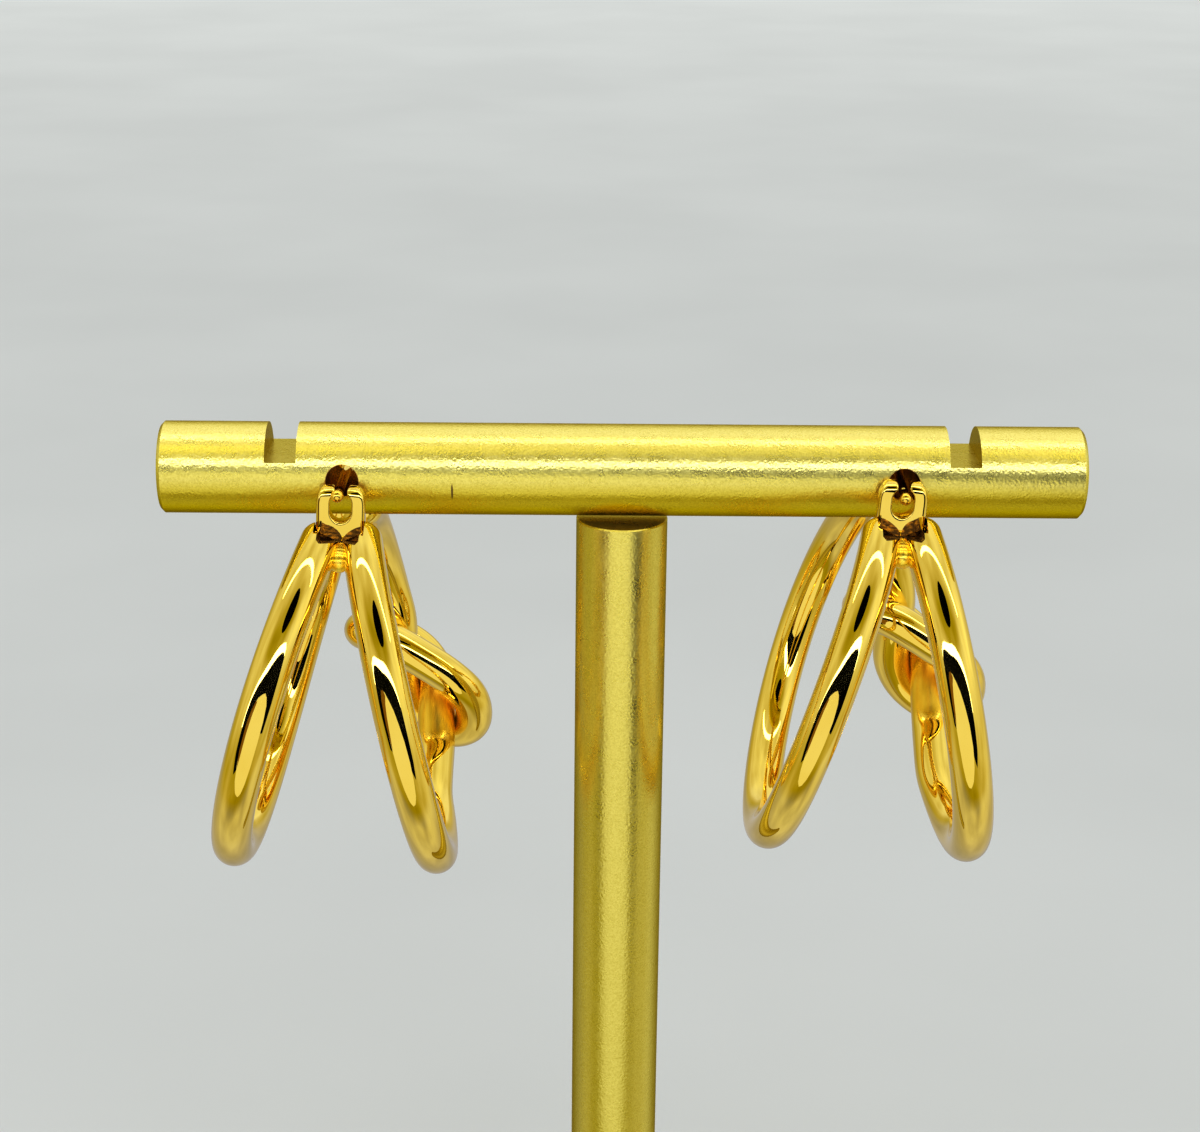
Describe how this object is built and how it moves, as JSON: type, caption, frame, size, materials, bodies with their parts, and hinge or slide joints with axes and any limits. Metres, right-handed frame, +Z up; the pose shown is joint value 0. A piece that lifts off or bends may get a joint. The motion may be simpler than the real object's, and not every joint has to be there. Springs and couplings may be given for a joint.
{
  "type": "pair of double hoop earrings on a T-bar display stand",
  "caption": "Polished gold double hoop earrings with a knotted hoop, hung by their posts through the bar of a small satin gold display stand.",
  "frame": {"origin": "centre of the round base's underside, where the stand rests", "axes": "+Z up along the upright, +X along the crossbar, -Y towards the front, where the catches of the earrings face"},
  "size_m": [0.08, 0.06, 0.104],
  "materials": {
    "satin_gold": "bead-blasted and anodised in light gold, fine satin grain",
    "polished_gold": "mirror-polished rich yellow gold plating"
  },
  "bodies": {
    "root": {"base": "satin_gold", "upright": "satin_gold", "crossbar": "satin_gold", "left_double_hoop": "polished_gold", "left_ear_post": "polished_gold", "right_double_hoop": "polished_gold", "right_ear_post": "polished_gold"}
  },
  "joints": []
}
